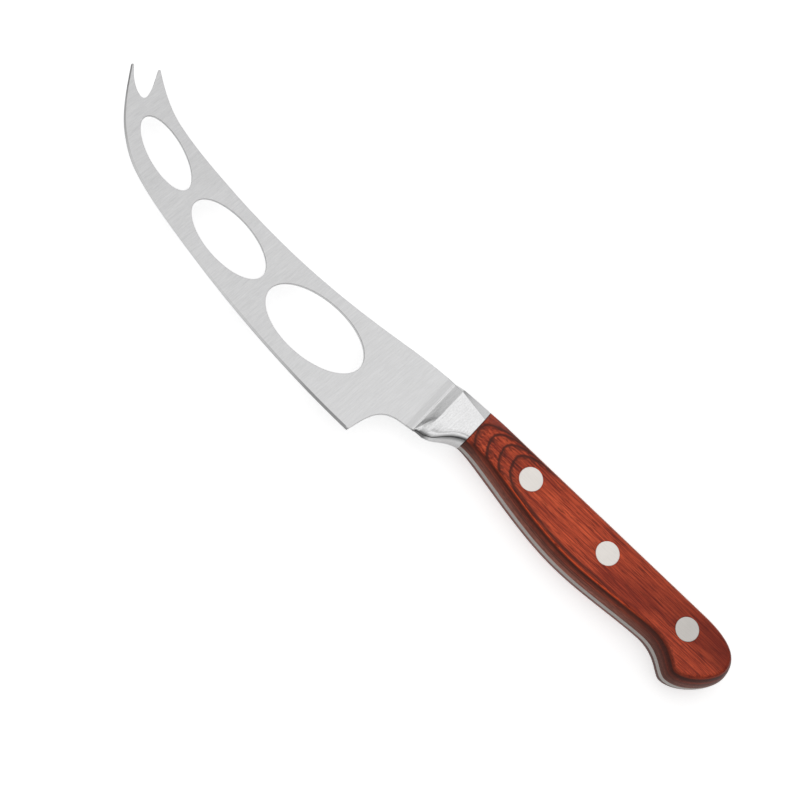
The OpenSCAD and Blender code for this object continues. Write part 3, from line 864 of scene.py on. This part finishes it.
def steel_tone(g, place, along, normal, marks, shine, tang):
    """Nodes for the brightness of the steel, with its painted shade."""
    up = g.math("ABSOLUTE", normal[2])
    cloud = g.noise(place, (35, 35, 35))
    tone = g.times(g.ranged(marks, *BROAD, -0.09, 0.09), g.ranged(shine, 0.0, 1.0, 1.0, 1.6))
    tone = g.math("ADD", tone, g.ranged(cloud, *BROAD, 0.785, 0.815))
    # Painted shade darkens the blade towards its tip; the tang is darker and duller
    tone = g.times(tone, g.ranged(along, *BLADE_DIM, 0.945, 1.015), g.ranged(tang, 0.0, 1.0, 1.0, 0.62))
    # Painted shade: a dark reflected band ahead of the bolster, and shade under its nose and in its scoop; also
    # darker on the sharpened bevel
    painted_band_shade = g.times(g.ranged(along, *BAND_START), g.ranged(along, *BAND_END, 1.0, 0.0), 0.10)
    painted_nose_shade = g.times(g.ranged(along, *NOSE_START), g.ranged(along, *NOSE_END, 1.0, 0.0),
                   g.ranged(normal[1], -0.46, -0.66, 0.0, 0.75, smooth=True))
    scoop = g.times(g.ranged(along, *SCOOP_START), g.ranged(up, 0.30, 0.50),
                    g.ranged(normal[1], -0.56, -0.72, 0.0, 0.6, smooth=True))
    bevel = g.times(g.ranged(normal[1], -0.14, -0.24), g.ranged(up, 0.5, 0.8),
                    g.ranged(along, *BEVEL_END, 1.0, 0.0), g.ranged(along, *BEVEL_DIM, 0.36, 0.58))
    for share in (painted_band_shade, painted_nose_shade, scoop, bevel):
        tone = g.lessened(tone, share)
    return tone


def steel_material():
    """Satin steel, brushed across the blade, with painted shade towards the tip and round the bolster; bolster
    brighter; tang left duller.
    """
    g = new_material("blade_steel")
    coord = g.add("ShaderNodeTexCoord").outputs
    place = coord["Object"]
    x, y, z = g.split(place)
    along = g.in_mm(x, SEAM_X)
    shine = g.ranged(along, *SHINE_START, smooth=True)
    tang = g.ranged(along, *TANG_START)

    slanted = g.math("MULTIPLY_ADD", y, -BRUSH_SLANT, x)
    brushed = g.add("ShaderNodeCombineXYZ", {0: slanted, 1: y, 2: z}).outputs[0]
    streak = g.noise(brushed, (1700, 110, 200), detail=3.0, roughness=0.6)
    hair = g.noise(brushed, (4200, 260, 400), roughness=0.6)
    speck = g.noise(place, (3800, 1900, 3800), roughness=0.6)
    marks = g.math("ADD", g.math("MULTIPLY", streak, 0.45), g.math("MULTIPLY", hair, 0.55))
    marks = g.between(marks, speck, g.ranged(shine, 0.0, 1.0, 0.25, 0.5))

    tone = steel_tone(g, place, along, g.split(coord["Normal"]), marks, shine, tang)
    colour = g.metal(tone, g.ranged(tang, 0.0, 1.0, 1.0, 0.94), g.ranged(tang, 0.0, 1.0, 1.005, 0.89))
    rough = g.math("ADD", g.ranged(marks, *BROAD, 0.30, 0.40), g.math("MULTIPLY", shine, -0.20))
    rough = g.math("ADD", rough, g.math("MULTIPLY", tang, 0.3))
    relief = g.math("MULTIPLY", marks, g.ranged(shine, 0.0, 1.0, 1.0, 0.5))
    return g.surface(Base_Color=colour, Metallic=1.0, Roughness=rough, Normal=g.bump(relief, 0.12, 0.04))


def rivet_material():
    """Warm grey steel, faintly brushed; painted shade makes the rear rivet darker."""
    g = new_material("rivet_steel")
    place = g.add("ShaderNodeTexCoord").outputs["Object"]
    streak = g.noise(place, (300, 3600, 300), detail=3.0, roughness=0.6)
    cloud = g.noise(place, (260, 260, 260))
    tone = g.math("ADD", g.ranged(streak, *BROAD, 0.86, 0.94), g.ranged(cloud, *BROAD, -0.02, 0.02))
    # Painted shade: the rear rivet darker
    tone = g.times(tone, g.ranged(g.in_mm(g.split(place)[0], SEAM_X), *REAR_RIVET_SHADE, 1.0, 0.75))
    rough = g.ranged(streak, *BROAD, 0.28, 0.38)
    return g.surface(Base_Color=g.metal(tone, 0.95, 0.90), Metallic=1.0, Roughness=rough,
                     Normal=g.bump(streak, 0.1, 0.03))


def above_face_edge(g, x, y):
    """Nodes for the height above the lower edge of the scales' flat faces, in mm."""
    node = g.add("ShaderNodeFloatCurve", {"Value": g.math("DIVIDE", x, HANDLE_LEN)})
    points = node.mapping.curves[0].points
    under = [(p, n) for p, n, side in HANDLE if side > 0 and p.x < NECK.x]
    for p, n in under[2::6]:
        q = p - n * handle_draw(p, 1, handle_half(p.x))
        points.new(q.x / HANDLE_LEN, 1 + q.y / EDGE_SPAN)
    points.remove(points[0])
    node.mapping.update()
    return g.math("MULTIPLY_ADD", g.math("SUBTRACT", 1.0, node.outputs[0]), EDGE_SPAN, y)


def arch_place(g, x, y, waver):
    """Nodes for the nearest arch: its number, and the distance behind it in mm."""
    y = g.math("SUBTRACT", y, ARCH_Y)
    behind, slope = g.math("ADD", g.math("SUBTRACT", x, ARCH_X), waver), 0.0
    for operation, (square, sixth) in (("MAXIMUM", ARM_ABOVE), ("MINIMUM", ARM_BELOW)):
        t = g.math(operation, y, 0.0)
        t2 = g.math("MULTIPLY", t, t)
        t4 = g.math("MULTIPLY", t2, t2)
        reach = g.math("MULTIPLY", t2, g.math("MULTIPLY_ADD", t4, sixth, square))
        behind = g.math("SUBTRACT", behind, reach)
        slope = g.math("MULTIPLY_ADD", t, g.math("MULTIPLY_ADD", t4, 6 * sixth, 2 * square), slope)
    number = g.math("ROUND", g.math("DIVIDE", behind, ARCH_STEP))
    number = g.math("MINIMUM", g.math("MAXIMUM", number, 0.0), ARCH_COUNT - 1.0)
    off = g.math("SUBTRACT", behind, g.math("MULTIPLY", number, ARCH_STEP))
    steep = g.math("SQRT", g.math("MULTIPLY_ADD", slope, slope, 1.0))
    return number, g.math("DIVIDE", off, steep)


def wood_lines(g, x, y, tooth, blotch):
    """Nodes for the dark lines: arches toothed along the grain, the smudged one at the seam, and the arm."""
    waver = g.math("ADD", g.ranged(tooth, *BROAD, -0.2, 0.2), g.ranged(blotch, *BROAD, -0.25, 0.25))
    number, off = arch_place(g, x, y, waver)
    away = g.math("ABSOLUTE", off)
    line = g.ranged(away, 0.10, 0.62, 0.9, 0.0, smooth=True)
    teeth = g.times(g.ranged(off, 0.0, 2.8, 0.95, 0.0), g.math("GREATER_THAN", off, 0.0),
                    g.ranged(tooth, 0.46, 0.54))
    smudge = g.times(g.ranged(away, 0.2, 1.3, 0.55, 0.0, smooth=True), g.math("LESS_THAN", number, 0.5))
    arch = g.math("MAXIMUM", g.math("MAXIMUM", line, teeth), smudge)
    arch = g.times(arch, g.ranged(x, *ARCH_END, 1.0, 0.0))
    # The last arms run on along the lower edge
    inset = g.math("MULTIPLY_ADD", waver, 0.4, above_face_edge(g, x, y))
    inset = g.math("ABSOLUTE", g.math("ADD", inset, ARM_DROP))
    arm = g.times(g.ranged(inset, 0.1, 0.65, 0.8, 0.0, smooth=True),
                  g.ranged(x, *ARM_START), g.ranged(x, *ARM_END, 1.0, 0.0))
    return g.math("MAXIMUM", arch, arm)


def wood_flank(g, place, x, height, thread):
    """Nodes for the colour of the flank: its brown layers with painted shade, from the tang out to a painted
    highlight on the edge of the face.
    """
    strata = g.noise(place, (30, 60, 1900), detail=3.0, roughness=0.6)
    flank_colour_and_shade = g.ramp(g.math("DIVIDE", height, FACE_HALF), FLANK_COLOUR_AND_SHADE_STOPS)
    # Streaks of the layers, with painted shade near the seam
    shade = g.times(g.ranged(strata, *NARROW, 0.38, 1.08), g.ranged(thread, *NARROW, 0.70, 1.25),
                    g.ranged(x, *SEAM_DIM, 0.45, 1.0, smooth=True))
    # Painted highlight along the lower edge of the face, dimmed towards the hook
    shade = g.between(shade, g.ranged(x, *EDGE_DIM, 1.15, 0.5), g.ranged(height, *EDGE_RISE))
    return g.add("ShaderNodeVectorMath", {0: flank_colour_and_shade, "Scale": shade}, operation="SCALE").outputs[0]


def wood_material():
    """Red-brown laminated wood: arches where the form cuts its layers, streaked grain and fine pores, with
    painted shade at the rear end, near the seam and round the hook, and painted highlights along the edges of
    the face.
    """
    g = new_material("handle_wood")
    coord = g.add("ShaderNodeTexCoord").outputs
    place = coord["Object"]
    row_x, row_y, row_z = g.split(place)
    x, y = g.in_mm(row_x, SEAM_X), g.in_mm(row_y, RIVET_Y)
    height = g.math("ABSOLUTE", g.in_mm(row_z, MIDDLE_Z))
    normal = g.split(coord["Normal"])
    up = g.math("ABSOLUTE", normal[2])
    fibre = g.noise(place, (46, 1600, 1600), detail=4.0, roughness=0.6, distortion=0.3)
    thread = g.noise(place, (110, 3600, 3600), detail=3.0, roughness=0.65)
    blotch = g.noise(place, (34, 150, 150), detail=3.0, roughness=0.55)
    pore = g.noise(place, (210, 5600, 5600), roughness=0.6)
    tooth = g.noise(place, (420, 2100, 2100))
    cloud = g.noise(place, (38, 110, 110))

    # Grain, darker in clouds, with painted shade on the upper side of the rear end
    grain = g.math("ADD", g.math("MULTIPLY", fibre, 0.45), g.math("MULTIPLY", thread, 0.35))
    grain = g.math("MULTIPLY_ADD", blotch, 0.2, grain)
    colour = g.ramp(grain, GRAIN_STOPS)
    colour = g.blend(g.ranged(cloud, 0.44, 0.64, 0.0, 0.4, smooth=True), colour, CLOUD_TINT)
    rear = g.times(g.ranged(x, *REAR_DIM, 0.0, 0.5), g.ranged(y, *REAR_RISE, 0.15, 1.0, smooth=True))
    colour = g.blend(rear, colour, REAR_SHADE_TINT)
    colour = g.blend(wood_lines(g, x, y, tooth, blotch), colour, ARCH_TINT)

    # Flank, with painted shade round the hook, and a painted highlight on the upper edge of the face
    side = g.ranged(up, 0.52, 0.68, 1.0, 0.0, smooth=True)
    colour = g.blend(side, colour, wood_flank(g, place, x, height, thread))
    # Painted shade in the hollow of the hook and on its rounded edge
    hook = g.times(g.ranged(x, *HOOK_START), g.ranged(x, *HOOK_END, 0.6, 0.25), g.ranged(y, *HOOK_DROP),
                   g.ranged(up, 0.72, 0.985, 1.0, 0.0, smooth=True))
    colour = g.blend(hook, colour, HOOK_SHADE_TINT)
    # Painted highlight on the upper edge of the face
    rim = g.times(g.ranged(normal[1], 0.72, 0.90, 0.0, 0.9, smooth=True), g.ranged(height, *RIM_RISE))
    colour = g.blend(rim, colour, RIM_HIGHLIGHT_TINT)

    pores = g.ranged(pore, 0.55, 0.62, 0.0, 0.75)
    colour = g.blend(pores, colour, PORE_TINT)
    colour = g.blend(g.ranged(x, *SEAM_LINE, 0.85, 0.0), colour, SEAM_TINT)
    rough = g.ranged(grain, *NARROW, 0.46, 0.36)
    relief = g.math("SUBTRACT", g.math("MULTIPLY", fibre, 0.4), pores)
    return g.surface(Base_Color=colour, Roughness=rough, Specular_IOR_Level=0.2,
                     Normal=g.bump(relief, 0.15, 0.05))


# Pieces

# Angle in degrees from which an edge is drawn sharp
STEEL_SHARP, WOOD_SHARP = 40, 38
# How near a point has to be to lie on the shoulder, and how far past the heel that line may run, in mm
ON_SHOULDER, PAST_HEEL = 0.001, 0.2


def piece(name, bm, material, sharp_deg, nodes, creases=None):
    """Turns a finished shape into a piece that stands for its node and rides on the knife."""
    bmesh.ops.recalc_face_normals(bm, faces=bm.faces[:])
    limit = math.radians(sharp_deg)
    for face in bm.faces:
        face.smooth = True
    for edge in bm.edges:
        edge.smooth = edge.calc_face_angle(0) < limit and not (creases and creases(edge))
    mesh = bpy.data.meshes.new(name)
    for v in bm.verts:
        v.co = (v.co + ROW_SHIFT) * MM
    bm.to_mesh(mesh)
    bm.free()
    mesh.materials.append(material)
    obj = bpy.data.objects.new(name, mesh)
    bpy.context.scene.collection.objects.link(obj)
    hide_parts(*nodes)
    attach(obj, "root")


def on_shoulder(edge):
    """Whether an edge lies on the line where the sharpened bevel begins."""
    for v in edge.verts:
        x, y, z = v.co
        off_line, off_flat = abs(y - edge_y(x) - BEVEL_H), abs(abs(z) - flat_half(x, y))
        if x > HEEL.x + PAST_HEEL or max(off_line, off_flat) > ON_SHOULDER:
            return False
    return True


steel = steel_material()
wood = wood_material()
rivet = rivet_material()

piece("knife_forging", forging(), steel, STEEL_SHARP, ["blade"], on_shoulder)

for name, flip in (("near_scale", 1), ("far_scale", -1)):
    shape = scale_shape()
    for v in shape.verts:
        v.co.z *= flip
    piece(name + "_wood", shape, wood, WOOD_SHARP, [name])

for place, centre in RIVETS.items():
    piece(place + "_sleeve_steel", sleeve(centre), rivet, STEEL_SHARP, [place + "_rivet_sleeve"])
    piece(place + "_post_steel", post(centre), rivet, STEEL_SHARP, [place + "_rivet_post"])


# Studio

# Floor, in metres: half its width, its grey, and its glow for the camera and in mirror images
FLOOR_HALF, FLOOR_GREY, FLOOR_SEEN, FLOOR_MIRRORED = 3.0, 0.80, 0.6, 0.2
# Brightness of the surroundings by height, from straight down (-1) to straight up (1)
SKY_BY_HEIGHT = [(-1.0, 0.15), (0.22, 0.20), (0.42, 0.80), (0.62, 0.84), (0.80, 0.90), (1.0, 0.96)]
# The factor on it along the knife, from beyond the tip (-1) to beyond the butt (1)
SKY_BY_LENGTH = [
    (-0.925, 0.7), (-0.90, 2.0), (-0.885, 2.0), (-0.868, 0.84), (-0.7, 0.84), (-0.45, 0.97), (-0.30, 0.97),
    (-0.20, 0.60), (-0.13, 0.64), (-0.06, 0.92), (0.0, 1.14), (0.08, 1.06), (0.3, 0.72), (0.7, 0.5)]
# Camera: focal length and sensor, tilt and roll in degrees, the place it looks at and its distance, in mm
LENS, SENSOR = 103.0, 36.0
TILT, ROLL = 22.0, 43.6
AIM, RANGE = Vector((0.55, -2.41, 7.5)), 650.0


def floor():
    """White floor that keeps the knife's shadow."""
    g = new_material("studio_floor")
    path = g.add("ShaderNodeLightPath").outputs
    matt = g.add("ShaderNodeBsdfDiffuse", {"Color": (FLOOR_GREY, FLOOR_GREY, FLOOR_GREY, 1)})
    seen = g.math("MULTIPLY", path["Is Camera Ray"], FLOOR_SEEN)
    seen = g.math("MULTIPLY_ADD", path["Is Glossy Ray"], FLOOR_MIRRORED, seen)
    glow = g.add("ShaderNodeEmission", {"Color": (1, 1, 1, 1), "Strength": seen})
    both = g.add("ShaderNodeAddShader", {0: matt.outputs[0], 1: glow.outputs[0]})
    g.add("ShaderNodeOutputMaterial", {"Surface": both.outputs[0]})
    mesh = bpy.data.meshes.new("studio_floor")
    corners = [(x * FLOOR_HALF, y * FLOOR_HALF, 0) for x, y in ((-1, -1), (1, -1), (1, 1), (-1, 1))]
    mesh.from_pydata(corners, [], [(0, 1, 2, 3)])
    mesh.materials.append(g.owner)
    obj = bpy.data.objects.new("studio_floor", mesh)
    bpy.context.scene.collection.objects.link(obj)


def world():
    """Dim near the horizon, bright overhead, and darker beyond the butt."""
    g = Graph(bpy.data.worlds.new("studio"))
    direction = g.split(g.add("ShaderNodeTexCoord").outputs["Generated"])
    levels = []
    for axis, stops in ((2, SKY_BY_HEIGHT), (0, SKY_BY_LENGTH)):
        greys = [((place + 1) / 2, (level, level, level)) for place, level in stops]
        levels.append(g.ramp(g.ranged(direction[axis], -1.0, 1.0), greys))
    back = g.add("ShaderNodeBackground", {"Color": levels[0], "Strength": levels[1]})
    g.add("ShaderNodeOutputWorld", {"Surface": back.outputs[0]})
    bpy.context.scene.world = g.owner


def stand(name, data, right, up, back, place):
    """Puts a light or camera into the scene, by its own axes and place."""
    obj = bpy.data.objects.new(name, data)
    obj.matrix_world = Matrix([*zip(right, up, back, place), (0, 0, 0, 1)])
    bpy.context.scene.collection.objects.link(obj)
    return obj


def softbox(name, direction, distance, width, length, radiance):
    """Area light that faces the knife, long across it, given the brightness of its face."""
    light = bpy.data.lights.new(name, "AREA")
    light.shape = "RECTANGLE"
    light.size, light.size_y = width, length
    light.energy = radiance * math.pi * width * length
    toward = Vector(direction).normalized()
    along = (Vector((0, 1, 0)) - toward * toward.y).normalized()
    stand(name, light, along.cross(toward), along, toward, toward * distance)


def camera():
    """The photograph's view: tilted towards the edge, and rolled so that the knife lies across the corners."""
    data = bpy.data.cameras.new("camera")
    data.sensor_width = SENSOR
    data.lens = LENS
    tilt, roll = math.radians(TILT), math.radians(ROLL)
    back = Vector((0, -math.sin(tilt), math.cos(tilt)))
    level_up = Vector((0, math.cos(tilt), math.sin(tilt)))
    right = math.cos(roll) * Vector((1, 0, 0)) + math.sin(roll) * level_up
    up = math.cos(roll) * level_up - math.sin(roll) * Vector((1, 0, 0))
    bpy.context.scene.camera = stand("camera", data, right, up, back, AIM * MM + back * (RANGE * MM))


floor()
world()
softbox("key", direction=(-0.53, 0.0, 0.85), distance=1.2, width=0.15, length=1.7, radiance=0.20)
camera()
bpy.context.scene.view_settings.view_transform = "Standard"
